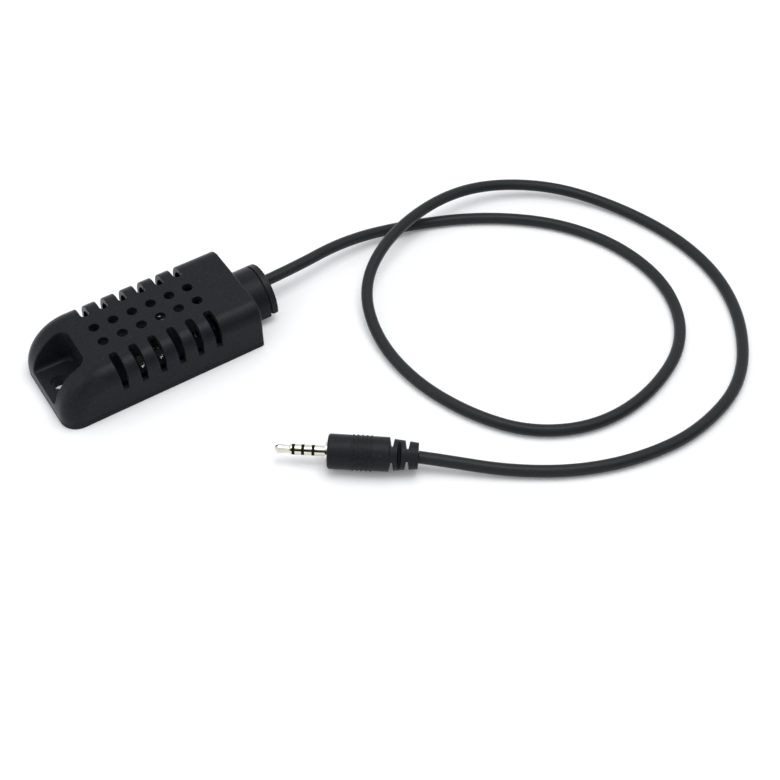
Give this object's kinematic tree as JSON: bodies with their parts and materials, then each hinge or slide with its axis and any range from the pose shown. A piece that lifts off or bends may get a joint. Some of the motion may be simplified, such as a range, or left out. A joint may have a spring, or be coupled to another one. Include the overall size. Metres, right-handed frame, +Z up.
{
  "type": "temperature and humidity sensor",
  "caption": "Vented black housing with a screw tab at one end and a rubber grommet at the other, whose cable ends in a jack plug; it senses air temperature and humidity.",
  "frame": {"origin": "on the floor under the middle of the housing and its grommet, without the cable and plug", "axes": "+X from the mounting tab to the cable outlet, +Y across the housing, +Z up from the base"},
  "size_m": [0.1684, 0.1093, 0.0138],
  "materials": {
    "housing": "fine matte texture, black",
    "base": "fine matte texture, black",
    "grommet": "satin black rubber",
    "cable_jacket": "satin black jacket",
    "plug_grip": "satin black overmould",
    "contact": "nickel plated",
    "band": "black insulator",
    "board": "near-black solder mask",
    "ceramic": "dark brown ceramic",
    "tin": "tinned",
    "element": "dark grey porous plate",
    "bead": "black epoxy bead",
    "chip": "black moulded package",
    "red_core": "red insulation",
    "black_core": "black insulation",
    "yellow_core": "yellow insulation",
    "white_core": "white insulation"
  },
  "bodies": {
    "root": {"upper_shell": "housing", "base_cover": "base", "cable_grommet": "grommet", "cable": "cable_jacket", "plug_overmould": "plug_grip", "plug_sleeve": "contact", "plug_rear_ring": "contact", "plug_front_ring": "contact", "plug_tip": "contact", "plug_rear_insulator": "band", "plug_middle_insulator": "band", "plug_front_insulator": "band", "circuit_board": "board", "ceramic_capacitors": "ceramic", "capacitor_ends": "tin", "humidity_element": "element", "humidity_leads": "tin", "thermistor": "bead", "thermistor_leads": "tin", "microcontroller": "chip", "microcontroller_leads": "tin", "chip_resistors": "chip", "resistor_ends": "tin", "supply_wire": "red_core", "data_wire": "yellow_core", "clock_wire": "white_core", "ground_wire": "black_core", "wire_joints": "tin"}
  },
  "joints": []
}
